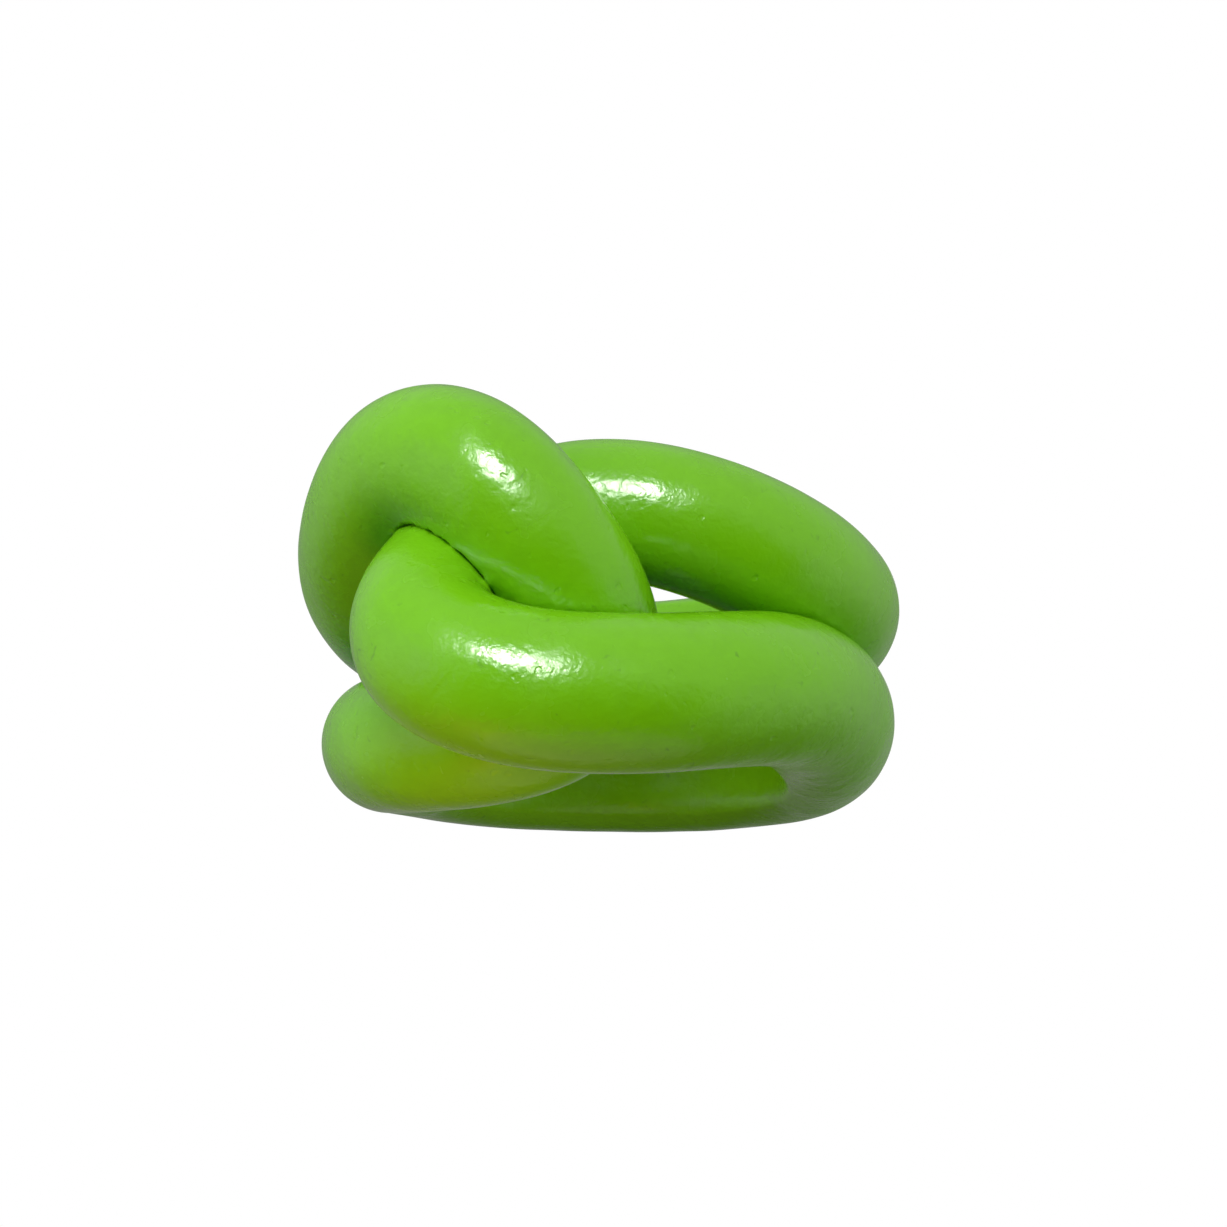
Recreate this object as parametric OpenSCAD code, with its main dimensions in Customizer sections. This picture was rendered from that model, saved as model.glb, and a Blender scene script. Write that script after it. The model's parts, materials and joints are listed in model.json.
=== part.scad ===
// Knot finger ring: two fat ropes are hooked through each other in front of the finger,
// and their legs run round both sides and meet end to end behind it.
// The origin is the middle of the finger hole, Z runs along the finger, and the knot
// stands out towards -Y. Angles round the finger are counted from -Y towards +X.

/* [Finger hole] */
// Ring size, which is the inside circumference in millimetres
ring_size = 56; // [50:1:62]

/* [Rope] */
// Diameter of the rope where nothing presses on it
rope_d = 7.2; // [6.8:0.1:7.6]
// Width of the crease between two faces that are pressed together
crease_gap = 0.1; // [0.08:0.01:0.2]

/* [Smoothness] */
// Flats round a rope
rope_sides = 24; // [16:2:32]
// Cross-sections in each span between two guide points
span_steps = 4; // [3:1:5]

/* [Hidden] */

lime = [0.36, 0.66, 0.16];
bore_r = ring_size / (2 * PI);
bore_h = 40;
// The routes below are drawn for a rope this thick, and are scaled to suit another
drawn_rope_d = 7.2;
rope_scale = rope_d / drawn_rope_d;

// A guide point holds the angle round the finger, the distance from the wall of the finger
// hole out to the middle of the rope, the height, and the radius of the rope. The rope
// follows its guide points as a smooth curve that passes beside them.
right_route = [
    // Upper leg, from behind the finger round the right side
    [180, 2.3, 2.8, 3.7],
    [150, 2.3, 2.8, 3.7],
    [120, 2.4, 2.9, 3.7],
    [90, 2.5, 3.0, 3.6],
    [62, 2.6, 3.2, 3.6],
    [38, 2.9, 4.1, 3.5],
    [16, 2.5, 5.3, 3.5],
    // Under the left rope and out through its loop
    [-4, 1.7, 5.9, 3.4],
    [-17, 2.2, 5.3, 3.5],
    [-30, 5.0, 2.6, 3.7],
    // Over the left rope, across the front
    [-31, 9.5, -2.2, 3.7],
    [-14, 9.2, -5.1, 3.7],
    [10, 6.9, -4.6, 3.7],
    [34, 4.5, -3.1, 3.7],
    // Lower leg, round the right side to the back
    [60, 2.4, -2.7, 3.7],
    [90, 1.9, -3.3, 3.6],
    [120, 2.3, -3.2, 3.6],
    [150, 2.3, -2.9, 3.6],
];
left_route = [
    // Lower leg, from behind the finger round the left side
    [180, 2.3, -2.7, 3.6],
    [210, 2.3, -2.8, 3.6],
    [240, 2.3, -3.0, 3.5],
    [270, 2.2, -3.7, 3.5],
    [296, 2.5, -4.7, 3.5],
    [318, 2.5, -5.2, 3.5],
    // Under the right rope and out through its loop
    [336, 2.3, -5.1, 3.5],
    [352, 2.3, -4.1, 3.5],
    [357, 3.3, -1.3, 3.6],
    // Over the right rope, across the front
    [350, 6.7, 2.0, 3.6],
    [341, 8.5, 5.8, 3.6],
    [328, 7.6, 7.8, 3.6],
    [312, 5.8, 6.7, 3.6],
    // Upper leg, round the left side to the back
    [294, 4.0, 5.1, 3.7],
    [270, 2.9, 4.1, 3.7],
    [240, 2.5, 3.5, 3.7],
    [210, 2.3, 3.1, 3.7],
];

// Both routes end to end make one closed line
guide = concat(right_route, left_route);
spans = len(guide);
right_spans = len(right_route);

// Weights of four neighbouring guide points at t, from 0 to 1 along a span (cubic B-spline)
function weights(t) = [
    pow(1 - t, 3),
    3 * pow(t, 3) - 6 * pow(t, 2) + 4,
    1 + 3 * t + 3 * pow(t, 2) - 3 * pow(t, 3),
    pow(t, 3)
] / 6;

// Smoothed guide point, s spans from the start of the closed line
function guided(s) = let (n = floor(s))
    weights(s - n) * [for (j = [-1:2]) guide[(n + j + spans) % spans]];

// Middle and radius of the rope at s
function middle(s) = let (g = guided(s), r = bore_r + rope_scale * g[1])
    [r * sin(g[0]), -r * cos(g[0]), rope_scale * g[2]];
function radius(s) = rope_scale * guided(s)[3];

// Direction of the rope at s, between two points a small step to either side
small_step = 0.01;
function unit(v) = v / norm(v);
function along(s) = unit(middle(s + small_step) - middle(s - small_step));

// The middle line with its radius, in short steps, to feel where ropes press together.
// A cross-section skips the trail nearer than own_reach, which is its own stretch of rope,
// and farther than press_reach, which can't touch it.
trail_steps = 12;
trail = [for (i = [0 : spans * trail_steps - 1]) let (s = i / trail_steps) [middle(s), radius(s)]];
own_reach = 1;
press_reach = 1.1 * 2 * radius(0);

// Distance from c along the unit direction d to the face where a rope of radius a round c
// meets a rope of radius b round q. Pressed ropes meet in the plane where their skins cross.
// A direction that leans away from q never gets there, so it answers a whole rope diameter.
least_lean = 0.01;
function meeting(c, a, d, q, b) = let (apart = q - c, lean = apart * d)
    lean > least_lean ? (apart * apart + a * a - b * b) / (2 * lean) : 2 * a;

// Cross-section at s: a circle, flattened wherever another length of rope presses on it
function section(s) = let (
    c = middle(s),
    a = radius(s),
    t = along(s),
    outward = unit([c[0], c[1], 0]),
    n = unit(outward - (outward * t) * t),
    b = cross(t, n),
    near = [for (q = trail) let (far = norm(q[0] - c)) if (far > own_reach && far < press_reach) q]
) [
    for (i = [0 : rope_sides - 1]) let (
        turn = 360 * i / rope_sides,
        d = n * cos(turn) + b * sin(turn),
        faces = [for (q = near) meeting(c, a, d, q[0], q[1]) - crease_gap / 2]
    ) c + d * min(concat([a], faces))
];

// Solid rope from one span number to another, with flat ends
module rope(first, last) {
    rows = (last - first) * span_steps;
    skin = [for (j = [0 : rows]) each section(first + j / span_steps)];
    end_a = len(skin);
    end_b = end_a + 1;
    function at(j, i) = j * rope_sides + i % rope_sides;
    side = [
        for (j = [0 : rows - 1], i = [0 : rope_sides - 1]) each [
            [at(j, i), at(j + 1, i), at(j + 1, i + 1)],
            [at(j, i), at(j + 1, i + 1), at(j, i + 1)]
        ]
    ];
    cap_a = [for (i = [0 : rope_sides - 1]) [end_a, at(0, i), at(0, i + 1)]];
    cap_b = [for (i = [0 : rope_sides - 1]) [end_b, at(rows, i + 1), at(rows, i)]];
    polyhedron(concat(skin, [middle(first), middle(last)]), concat(side, cap_a, cap_b));
}

// The hole for the finger, which cuts the inside of both ropes to one round wall
module finger_hole() {
    cylinder(r = bore_r, h = bore_h, center = true, $fn = 120);
}

module right_rope() {
    color(lime) difference() {
        rope(0, right_spans);
        finger_hole();
    }
}

module left_rope() {
    color(lime) difference() {
        rope(right_spans, spans);
        finger_hole();
    }
}

right_rope();
left_rope();
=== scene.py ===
"""Knot finger ring: two glossy lime ropes hooked together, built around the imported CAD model."""

import json
import math

import bpy
import numpy as np
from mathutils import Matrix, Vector, noise


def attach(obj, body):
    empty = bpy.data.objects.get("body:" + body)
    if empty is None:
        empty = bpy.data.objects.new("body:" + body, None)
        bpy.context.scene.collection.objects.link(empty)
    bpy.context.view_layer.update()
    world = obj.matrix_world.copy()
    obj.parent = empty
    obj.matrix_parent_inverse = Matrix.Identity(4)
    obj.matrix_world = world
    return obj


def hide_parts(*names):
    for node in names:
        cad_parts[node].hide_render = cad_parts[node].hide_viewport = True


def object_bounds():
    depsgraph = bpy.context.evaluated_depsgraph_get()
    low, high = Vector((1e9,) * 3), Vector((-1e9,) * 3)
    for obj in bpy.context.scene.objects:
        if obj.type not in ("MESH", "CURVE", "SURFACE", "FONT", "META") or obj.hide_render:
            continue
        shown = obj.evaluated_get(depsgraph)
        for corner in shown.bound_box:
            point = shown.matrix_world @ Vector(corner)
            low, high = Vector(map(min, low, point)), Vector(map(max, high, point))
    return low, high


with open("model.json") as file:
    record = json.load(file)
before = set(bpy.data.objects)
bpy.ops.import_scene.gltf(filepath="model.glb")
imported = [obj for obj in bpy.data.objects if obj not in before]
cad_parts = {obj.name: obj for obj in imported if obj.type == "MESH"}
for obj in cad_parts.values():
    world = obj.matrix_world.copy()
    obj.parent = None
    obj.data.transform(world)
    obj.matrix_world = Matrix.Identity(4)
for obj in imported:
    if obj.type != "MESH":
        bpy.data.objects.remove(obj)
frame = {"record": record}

cad_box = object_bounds()

# One millimetre in metres
MM = 0.001

# ---------------------------------------------------------------- sizes, in millimetres

# The finger hole, from the record's own mount
bore_mount = next(m for m in frame["record"]["mounts"] if m["name"] == "finger_bore")
BORE_R = bore_mount["dims"]["r_mm"]

# The routes of the CAD model, with the same points in the same order: the angle round the
# finger, the distance from the wall of the hole to the middle of the rope, the height and
# the rope's radius, in degrees and millimetres.
RIGHT_ROUTE = [
    # Upper leg, from behind the finger round the right side
    (180, 2.3, 2.8, 3.7),
    (150, 2.3, 2.8, 3.7),
    (120, 2.4, 2.9, 3.7),
    (90, 2.5, 3.0, 3.6),
    (62, 2.6, 3.2, 3.6),
    (38, 2.9, 4.1, 3.5),
    (16, 2.5, 5.3, 3.5),
    # Under the left rope and out through its loop
    (-4, 1.7, 5.9, 3.4),
    (-17, 2.2, 5.3, 3.5),
    (-30, 5.0, 2.6, 3.7),
    # Over the left rope, across the front
    (-31, 9.5, -2.2, 3.7),
    (-14, 9.2, -5.1, 3.7),
    (10, 6.9, -4.6, 3.7),
    (34, 4.5, -3.1, 3.7),
    # Lower leg, round the right side to the back
    (60, 2.4, -2.7, 3.7),
    (90, 1.9, -3.3, 3.6),
    (120, 2.3, -3.2, 3.6),
    (150, 2.3, -2.9, 3.6),
]
LEFT_ROUTE = [
    # Lower leg, from behind the finger round the left side
    (180, 2.3, -2.7, 3.6),
    (210, 2.3, -2.8, 3.6),
    (240, 2.3, -3.0, 3.5),
    (270, 2.2, -3.7, 3.5),
    (296, 2.5, -4.7, 3.5),
    (318, 2.5, -5.2, 3.5),
    # Under the right rope and out through its loop
    (336, 2.3, -5.1, 3.5),
    (352, 2.3, -4.1, 3.5),
    (357, 3.3, -1.3, 3.6),
    # Over the right rope, across the front
    (350, 6.7, 2.0, 3.6),
    (341, 8.5, 5.8, 3.6),
    (328, 7.6, 7.8, 3.6),
    (312, 5.8, 6.7, 3.6),
    # Upper leg, round the left side to the back
    (294, 4.0, 5.1, 3.7),
    (270, 2.9, 4.1, 3.7),
    (240, 2.5, 3.5, 3.7),
    (210, 2.3, 3.1, 3.7),
]
GUIDE = np.array(RIGHT_ROUTE + LEFT_ROUTE, float)
SPANS = len(GUIDE)
RIGHT_SPANS = len(RIGHT_ROUTE)

# The skin of a rope: rings of points in each span of the route, and points round a ring
RINGS_PER_SPAN = 26
SIDES = 144

# How far apart pressed faces lie, and how far their edges and the rims of the hole are rounded
CREASE_GAP = 0.03
CREASE_ROUNDING = 0.20
RIM_ROUNDING = 0.8

# Steps in each span of the trail that a ring feels for. It skips the trail nearer than
# OWN_REACH, which is its own stretch of rope, and farther than PRESS_REACH, which can't
# touch it.
TRAIL_STEPS = 12
OWN_REACH = 1.0
PRESS_REACH = 8.2

# A direction that leans less than LEAST_LEAN towards another rope never meets it. NEVER
# stands for the distance to such a rope, and TINY keeps a division from being by nothing.
LEAST_LEAN = 0.01
NEVER = 1000.0
TINY = 1e-9

# Patterns along the ropes, each a sum of waves: (waves per millimetre, share)
HAND_ROLLED = ((0.16, 1.0), (0.41, 0.5))
POOLED_LACQUER = ((0.7, 1.0), (1.9, 0.8))
CRUMBS = ((0.35, 0.7), (1.7, 1.0))

# Share of the radius by which a rope swells where it was rolled by hand, and share of the
# crease rounding by which pooled lacquer changes it
SWELL = 0.012
POOLING = 0.8

# Crumbs of lacquer along the creases: the noise value that they start from, and their
# height and spread
CRUMB_START = 0.2
CRUMB_HEIGHT = 0.25
CRUMB_SPREAD = 0.18


# ---------------------------------------------------------------- ropes

def guided(s):
    """Smoothed guide points at s spans from the start of the closed line (cubic B-spline)."""
    n = np.floor(s).astype(int)
    t = (s - n)[:, None]
    p = [GUIDE[(n + j) % SPANS] for j in (-1, 0, 1, 2)]
    w = ((1 - t) ** 3, 3 * t**3 - 6 * t**2 + 4, 1 + 3 * t + 3 * t**2 - 3 * t**3, t**3)
    return sum(wi * pi for wi, pi in zip(w, p)) / 6


def middle(s):
    """Middle of the rope and its radius at each s, in millimetres."""
    g = guided(s)
    a = np.radians(g[:, 0])
    r = BORE_R + g[:, 1]
    return np.stack([r * np.sin(a), -r * np.cos(a), g[:, 2]], 1), g[:, 3]


def unit(v):
    return v / np.linalg.norm(v, axis=-1, keepdims=True)


def soft_min(a, b, k):
    """The smaller of a and b, rounded over where they cross."""
    return np.minimum(a, b) - np.maximum(k - np.abs(a - b), 0) ** 2 / (4 * k)


def wander(points, waves):
    """Smooth uneven value at each point, about -1 to 1, summed from (waves per mm, share)."""
    total = np.zeros(points[..., 0].size)
    for frequency, share in waves:
        # The shift takes the pattern's own origin off the middle of the ring
        shift = Vector((7, 3, 1)) * frequency
        values = [noise.noise(Vector(p) * frequency + shift) for p in points.reshape(-1, 3)]
        total += share * np.array(values)
    return total.reshape(points.shape[:-1])


def directions(s, c):
    """Unit directions from each middle c out to the points round its ring."""
    step = 0.01
    along = unit(middle(s + step)[0] - middle(s - step)[0])
    outward = unit(c * [1, 1, 0])
    n = unit(outward - (outward * along).sum(1)[:, None] * along)
    b = np.cross(along, n)
    turn = np.linspace(0, 2 * np.pi, SIDES, endpoint=False)[None, :, None]
    return n[:, None] * np.cos(turn) + b[:, None] * np.sin(turn)


def to_pressed_face(c, a, d):
    """Distance from c along d to the plane where another length of rope presses on this one."""
    trail_s = np.arange(SPANS * TRAIL_STEPS) / TRAIL_STEPS
    face = np.full(d.shape[:2], NEVER)
    for q, qa in zip(*middle(trail_s)):
        apart = q - c
        far2 = (apart**2).sum(1)
        near = (far2 > OWN_REACH**2) & (far2 < PRESS_REACH**2)
        lean = (d[near] * apart[near][:, None]).sum(2)
        top = (far2[near] + a[near] ** 2 - qa**2)[:, None]
        meet = np.where(lean > LEAST_LEAN, top / (2 * np.maximum(lean, LEAST_LEAN)), NEVER)
        face[near] = np.minimum(face[near], meet - CREASE_GAP / 2)
    return face


def to_hole_wall(c, d):
    """Distance from c along d to the round wall of the finger hole."""
    flat_c, flat_d = c[:, :2], d[..., :2]
    square = (flat_d**2).sum(2)
    slope = (flat_d * flat_c[:, None]).sum(2)
    outside = ((flat_c**2).sum(1) - BORE_R**2)[:, None]
    root = slope**2 - square * outside
    hits = (root > 0) & (slope < 0)
    distance = (-slope - np.sqrt(np.maximum(root, 0))) / np.maximum(square, TINY)
    return np.where(hits, distance, NEVER)


def rope_skin(first, last):
    """Middles and rings of skin points of a rope from one span number to another."""
    s = np.linspace(first, last, (last - first) * RINGS_PER_SPAN + 1)
    c, a = middle(s)
    d = directions(s, c)
    face = to_pressed_face(c, a, d)
    a = a[:, None]
    round_skin = c[:, None] + d * a[..., None]

    # A rope swollen here and there, flattened where it is pressed, with rounded edges
    reach = a * (1 + SWELL * wander(round_skin, HAND_ROLLED))
    pooled = np.clip(wander(round_skin, POOLED_LACQUER), -1, 1)
    reach = soft_min(reach, face, CREASE_ROUNDING * (1 + POOLING * pooled))

    # Crumbs of lacquer stand along the edge of each pressed face
    crumbs = np.clip(wander(round_skin, CRUMBS) - CRUMB_START, 0, 1)
    on_edge = np.exp(-(((a - face) / CRUMB_SPREAD) ** 2))
    reach += CRUMB_HEIGHT * crumbs * on_edge

    # Towards the finger, the skin stops at the wall of the hole
    reach = soft_min(reach, to_hole_wall(c, d), RIM_ROUNDING)
    return c, c[:, None] + d * reach[..., None]


def make_rope(name, first, last):
    """One rope as a closed mesh: its skin and a flat end at each butt joint."""
    c, skin = rope_skin(first, last)
    rows = len(skin)
    points = np.concatenate([skin.reshape(-1, 3), c[:1], c[-1:]]) * MM
    end_a, end_b = rows * SIDES, rows * SIDES + 1

    def at(j, i):
        return j * SIDES + i % SIDES

    faces = [
        (at(j, i), at(j, i + 1), at(j + 1, i + 1), at(j + 1, i))
        for j in range(rows - 1)
        for i in range(SIDES)
    ]
    faces += [(end_a, at(0, i + 1), at(0, i)) for i in range(SIDES)]
    faces += [(end_b, at(rows - 1, i), at(rows - 1, i + 1)) for i in range(SIDES)]
    mesh = bpy.data.meshes.new(name)
    mesh.from_pydata(points.tolist(), [], faces)
    mesh.polygons.foreach_set("use_smooth", [len(f) == 4 for f in faces])
    mesh.update()

    # The skin meets the flat ends in a sharp edge
    ends = {at(j, i) for j in (0, rows - 1) for i in range(SIDES)}
    rims = [set(edge.vertices) <= ends for edge in mesh.edges]
    mesh.attributes.new("sharp_edge", "BOOLEAN", "EDGE").data.foreach_set("value", rims)
    rope = bpy.data.objects.new(name, mesh)
    bpy.context.scene.collection.objects.link(rope)
    return rope


# ---------------------------------------------------------------- materials

# Lime paint, as linear colours
LIME_DEEP = (0.140, 0.425, 0.002)
LIME_FRESH = (0.152, 0.460, 0.003)
LIME_DUSTY = (0.080, 0.25, 0.010)
DUST_SHARE = 0.6

# Roughness of the lacquer where it is glossy and where it is worn
GLOSS = 0.17
DULL = 0.32
LACQUER_IOR = 1.5

# Noise patterns: repeats in a metre, levels of detail, and how far the pattern is swirled
DRIFT = (180, 3, 0)
MOTTLE = (1400, 4, 0)
DUST = (900, 2, 1.5)
WAVES = (350, 2, 0)
RIPPLES = (1500, 2, 0.6)
PEEL = (3400, 3, 0)
PITS = (1500, 1, 0)
WORN = (420, 3, 0)

# Noise values between which a pattern goes from its first colour to its second
DRIFT_RISE = (0.3, 0.7)
MOTTLE_RISE = (0.35, 0.65)
DUST_RISE = (0.70, 0.78)
PITS_RISE = (0.22, 0.30)
WORN_RISE = (0.35, 0.7)

# Relief of each pattern, in metres
WAVE_DEPTH = 0.00010
RIPPLE_DEPTH = 0.000024
PEEL_DEPTH = 0.000026
PIT_DEPTH = 0.00002

# The floor's grey and roughness, and the distances in metres between which it turns white
PAPER_GREY = 0.9
PAPER_ROUGHNESS = 0.8
FLOOR_FADE = (0.03, 0.12)

# The Mix node's sockets for its two colours and for the mixed one
MIX_FIRST, MIX_SECOND, MIX_RESULT = 6, 7, 2


def add(tree, kind, **settings):
    """A new node with the given settings."""
    node = tree.nodes.new(kind)
    for key, value in settings.items():
        setattr(node, key, value)
    return node


def noise_field(tree, coords, pattern):
    """Noise with the pattern's scale, detail and distortion."""
    node = add(tree, "ShaderNodeTexNoise")
    for socket, value in zip(("Scale", "Detail", "Distortion"), pattern):
        node.inputs[socket].default_value = value
    tree.links.new(coords, node.inputs["Vector"])
    return node.outputs["Fac"]


def ramp(tree, value, rise, first, last):
    """Fade from first to last, greys or colours, as value climbs between the ends of rise."""
    node = add(tree, "ShaderNodeValToRGB")
    for element, position, colour in zip(node.color_ramp.elements, rise, (first, last)):
        element.position = position
        element.color = (*colour, 1) if isinstance(colour, tuple) else (colour,) * 3 + (1,)
    tree.links.new(value, node.inputs["Fac"])
    return node.outputs["Color"]


def bumped(tree, height, depth, below=None):
    """One layer of relief, depth metres from the height's black to its white."""
    node = add(tree, "ShaderNodeBump")
    node.inputs["Strength"].default_value = 1.0
    node.inputs["Distance"].default_value = depth
    tree.links.new(height, node.inputs["Height"])
    if below is not None:
        tree.links.new(below, node.inputs["Normal"])
    return node.outputs["Normal"]


def mixed_colour(tree, share, first, second):
    """First, a colour from a node, mixed with a share of second, a plain colour."""
    node = add(tree, "ShaderNodeMix", data_type="RGBA")
    tree.links.new(share, node.inputs["Factor"])
    tree.links.new(first, node.inputs[MIX_FIRST])
    node.inputs[MIX_SECOND].default_value = (*second, 1)
    return node.outputs[MIX_RESULT]


def lime_lacquer():
    """Lime paint under a brushed clear lacquer: mottled colour, ripples, pits and dust."""
    mat = bpy.data.materials.new("lime_lacquer")
    mat.use_nodes = True
    tree = mat.node_tree
    shader = tree.nodes["Principled BSDF"]
    coords = add(tree, "ShaderNodeTexCoord").outputs["Object"]

    def field(pattern):
        return noise_field(tree, coords, pattern)

    # Colour: a slow drift of hue, a fine mottle, and a few dark specks of dust in the paint
    paint = ramp(tree, field(DRIFT), DRIFT_RISE, LIME_DEEP, LIME_FRESH)
    mottle = ramp(tree, field(MOTTLE), MOTTLE_RISE, 0.0, 1.0)
    paint = mixed_colour(tree, mottle, paint, LIME_FRESH)
    dust = ramp(tree, field(DUST), DUST_RISE, 0.0, DUST_SHARE)
    paint = mixed_colour(tree, dust, paint, LIME_DUSTY)
    tree.links.new(paint, shader.inputs["Base Color"])

    # Relief: slow waves left by the fingers, brush ripples, orange peel and small pits
    relief = bumped(tree, field(WAVES), WAVE_DEPTH)
    relief = bumped(tree, field(RIPPLES), RIPPLE_DEPTH, relief)
    relief = bumped(tree, field(PEEL), PEEL_DEPTH, relief)
    pits = ramp(tree, field(PITS), PITS_RISE, 0.0, 1.0)
    relief = bumped(tree, pits, PIT_DEPTH, relief)
    tree.links.new(relief, shader.inputs["Normal"])

    # Gloss: worn a little duller in patches
    worn = ramp(tree, field(WORN), WORN_RISE, GLOSS, DULL)
    tree.links.new(worn, shader.inputs["Roughness"])
    shader.inputs["IOR"].default_value = LACQUER_IOR
    return mat


def pale_floor():
    """Plain pale floor that is seen only from above, and is lost in white at a distance."""
    mat = bpy.data.materials.new("pale_floor")
    mat.use_nodes = True
    tree = mat.node_tree
    link = tree.links.new
    paper = tree.nodes["Principled BSDF"]
    paper.inputs["Base Color"].default_value = (PAPER_GREY, PAPER_GREY, PAPER_GREY, 1)
    paper.inputs["Roughness"].default_value = PAPER_ROUGHNESS
    white = add(tree, "ShaderNodeEmission")
    clear = add(tree, "ShaderNodeBsdfTransparent")

    coords = add(tree, "ShaderNodeTexCoord").outputs["Object"]
    distance = add(tree, "ShaderNodeVectorMath", operation="LENGTH")
    link(coords, distance.inputs[0])
    far = add(tree, "ShaderNodeMapRange", interpolation_type="SMOOTHERSTEP")
    link(distance.outputs["Value"], far.inputs["Value"])
    far.inputs["From Min"].default_value, far.inputs["From Max"].default_value = FLOOR_FADE
    from_above = add(tree, "ShaderNodeMixShader")
    link(far.outputs["Result"], from_above.inputs["Fac"])
    link(paper.outputs["BSDF"], from_above.inputs[1])
    link(white.outputs["Emission"], from_above.inputs[2])

    side = add(tree, "ShaderNodeNewGeometry")
    one_way = add(tree, "ShaderNodeMixShader")
    link(side.outputs["Backfacing"], one_way.inputs["Fac"])
    link(from_above.outputs["Shader"], one_way.inputs[1])
    link(clear.outputs["BSDF"], one_way.inputs[2])
    link(one_way.outputs["Shader"], tree.nodes["Material Output"].inputs["Surface"])
    return mat


# ---------------------------------------------------------------- the ring

lacquer = lime_lacquer()
for node_name, first, last in (("right_rope", 0, RIGHT_SPANS), ("left_rope", RIGHT_SPANS, SPANS)):
    rope = make_rope(node_name + "_lacquered", first, last)
    rope.data.materials.append(lacquer)
    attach(rope, "root")
    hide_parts(node_name)


# ---------------------------------------------------------------- stage, light, camera

# Azimuth 0 is -Y, the front, and 90 is +X. Angles are in degrees and lengths in metres,
# apart from the lens and the sensor, which are in millimetres.

FLOOR_SIZE = 1.2

CAMERA_ELEVATION = -14
CAMERA_DISTANCE = 0.150
CAMERA_AIM = (0.00023, 0, 0.0032)
CLIP_START = 0.01
LENS_MM = 84.5
SENSOR_MM = 36

# Light of the room, where 1 would show as pure white
ROOM_LIGHT = 0.58

# Its share from the floor, from behind the ring, and from the dark part in front, low down
FLOOR_LIGHT = 0.08
BEHIND_LIGHT = 0.5
DARK_LIGHT = 0.03

# Where the first two fade, as the upward and the backward part of the direction
FLOOR_RISE = (-0.6, 0.0)
BEHIND_RISE = (0.4, 0.9)

# Azimuth and elevation of the middle of the dark part, and the angles from it at which the
# dark starts and is full
DARK_FRONT = (8, -38)
DARK_FROM, DARK_TO = 64, 32

# What a light can do: shine on the paint, and be mirrored in the lacquer
PAINT, LACQUER = "paint", "lacquer"
WHITE = (1, 1, 1)
PINK = (1.0, 0.80, 0.76)
ORANGE = (1.0, 0.40, 0.05)

# Name, azimuth, elevation, distance, (width, height), power in watts, colour, what it does.
# The palm and the warm light stand for pale and yellow things close under the ring.
LIGHTS = [
    ("key", -4, 23, 0.25, (0.12, 0.085), 0.36, WHITE, (PAINT, LACQUER)),
    ("glint", -5, 22, 0.26, (0.09, 0.075), 0.50, WHITE, (LACQUER,)),
    ("left_fill", -65, 2, 0.30, (0.25, 0.25), 0.40, WHITE, (PAINT,)),
    ("front_fill", 25, -2, 0.30, (0.25, 0.25), 0.08, WHITE, (PAINT,)),
    ("right_fill", 95, -20, 0.30, (0.25, 0.25), 0.30, WHITE, (PAINT,)),
    ("back_fill", 160, 12, 0.30, (0.25, 0.25), 0.40, WHITE, (PAINT,)),
    ("palm", 5, -68, 0.028, (0.032, 0.030), 0.0010, PINK, (PAINT, LACQUER)),
    ("warm", -34, -44, 0.030, (0.010, 0.008), 0.0018, ORANGE, (PAINT,)),
]


def towards(azimuth, elevation):
    """Unit direction from the ring."""
    a, e = math.radians(azimuth), math.radians(elevation)
    return Vector((math.sin(a) * math.cos(e), -math.cos(a) * math.cos(e), math.sin(e)))


def make_floor():
    """A floor under the ring. It takes the ring's shadow, and leaves the ring's light alone."""
    half = FLOOR_SIZE / 2
    z = cad_box[0].z
    mesh = bpy.data.meshes.new("floor")
    corners = [(-half, -half, z), (half, -half, z), (half, half, z), (-half, half, z)]
    mesh.from_pydata(corners, [], [(0, 1, 2, 3)])
    floor = bpy.data.objects.new("floor", mesh)
    floor.data.materials.append(pale_floor())
    floor.visible_diffuse = False
    floor.visible_glossy = False
    floor.visible_shadow = False
    bpy.context.scene.collection.objects.link(floor)


def make_light(name, azimuth, elevation, distance, size, power, colour, does):
    """A soft oval light that faces the ring."""
    data = bpy.data.lights.new(name, "AREA")
    data.shape = "ELLIPSE"
    data.size, data.size_y = size
    data.energy = power
    data.color = colour
    light = bpy.data.objects.new(name, data)
    light.visible_diffuse = PAINT in does
    light.visible_glossy = LACQUER in does
    light.visible_camera = False
    direction = towards(azimuth, elevation)
    light.location = direction * distance
    light.rotation_euler = direction.to_track_quat("Z", "Y").to_euler()
    bpy.context.scene.collection.objects.link(light)


def make_camera():
    """Camera in front of the knot, a little below it, looking up past the rim of the hole."""
    data = bpy.data.cameras.new("camera")
    data.lens = LENS_MM
    data.sensor_width = SENSOR_MM
    data.clip_start = CLIP_START
    camera = bpy.data.objects.new("camera", data)
    back = towards(0, CAMERA_ELEVATION)
    camera.location = Vector(CAMERA_AIM) + back * CAMERA_DISTANCE
    camera.rotation_euler = (-back).to_track_quat("-Z", "Y").to_euler()
    bpy.context.scene.collection.objects.link(camera)
    bpy.context.scene.camera = camera


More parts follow.
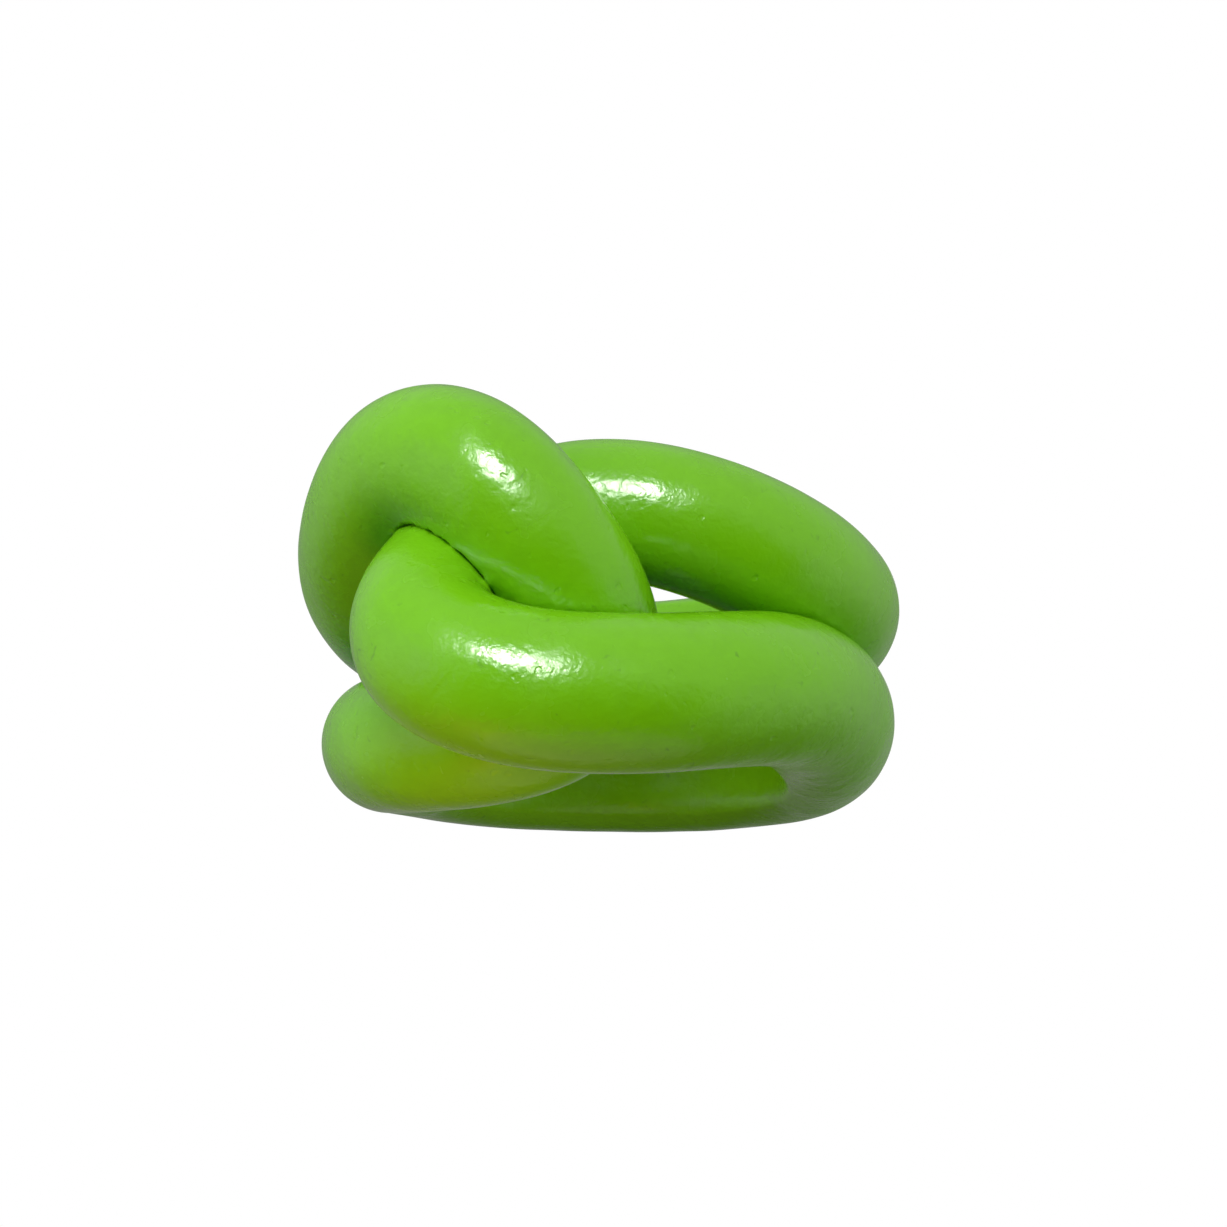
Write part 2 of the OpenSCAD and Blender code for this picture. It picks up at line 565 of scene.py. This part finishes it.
def make_room():
    """White to look at. As light, a pale room, dim below and behind, dark in front, low down."""
    world = bpy.data.worlds.new("room")
    world.use_nodes = True
    tree = world.node_tree
    link = tree.links.new
    direction = add(tree, "ShaderNodeTexCoord").outputs["Generated"]

    def part_along(vector):
        node = add(tree, "ShaderNodeVectorMath", operation="DOT_PRODUCT")
        link(direction, node.inputs[0])
        node.inputs[1].default_value = vector
        return node.outputs["Value"]

    def fade(value, rise, low, high):
        node = add(tree, "ShaderNodeMapRange", interpolation_type="SMOOTHSTEP")
        link(value, node.inputs["Value"])
        names = ("From Min", "From Max", "To Min", "To Max")
        for name, number in zip(names, (*rise, low, high)):
            node.inputs[name].default_value = number
        return node.outputs["Result"]

    def times(a, b):
        node = add(tree, "ShaderNodeMath", operation="MULTIPLY")
        link(a, node.inputs[0])
        link(b, node.inputs[1])
        return node.outputs["Value"]

    dark_rise = [math.cos(math.radians(angle)) for angle in (DARK_FROM, DARK_TO)]
    dark_front = fade(part_along(towards(*DARK_FRONT)), dark_rise, 1, DARK_LIGHT)
    below = fade(part_along((0, 0, 1)), FLOOR_RISE, FLOOR_LIGHT, 1)
    behind = fade(part_along((0, 1, 0)), BEHIND_RISE, 1, BEHIND_LIGHT)
    level = add(tree, "ShaderNodeMath", operation="MULTIPLY")
    link(times(times(dark_front, below), behind), level.inputs[0])
    level.inputs[1].default_value = ROOM_LIGHT

    seen = tree.nodes["Background"]
    lit = add(tree, "ShaderNodeBackground")
    link(level.outputs["Value"], lit.inputs["Strength"])
    for background in (seen, lit):
        background.inputs["Color"].default_value = (*WHITE, 1)
    ray = add(tree, "ShaderNodeLightPath")
    mix = add(tree, "ShaderNodeMixShader")
    link(ray.outputs["Is Camera Ray"], mix.inputs["Fac"])
    link(lit.outputs["Background"], mix.inputs[1])
    link(seen.outputs["Background"], mix.inputs[2])
    link(mix.outputs["Shader"], tree.nodes["World Output"].inputs["Surface"])
    bpy.context.scene.world = world


make_room()
make_floor()
make_camera()
for light in LIGHTS:
    make_light(*light)
bpy.context.scene.view_settings.view_transform = "Standard"
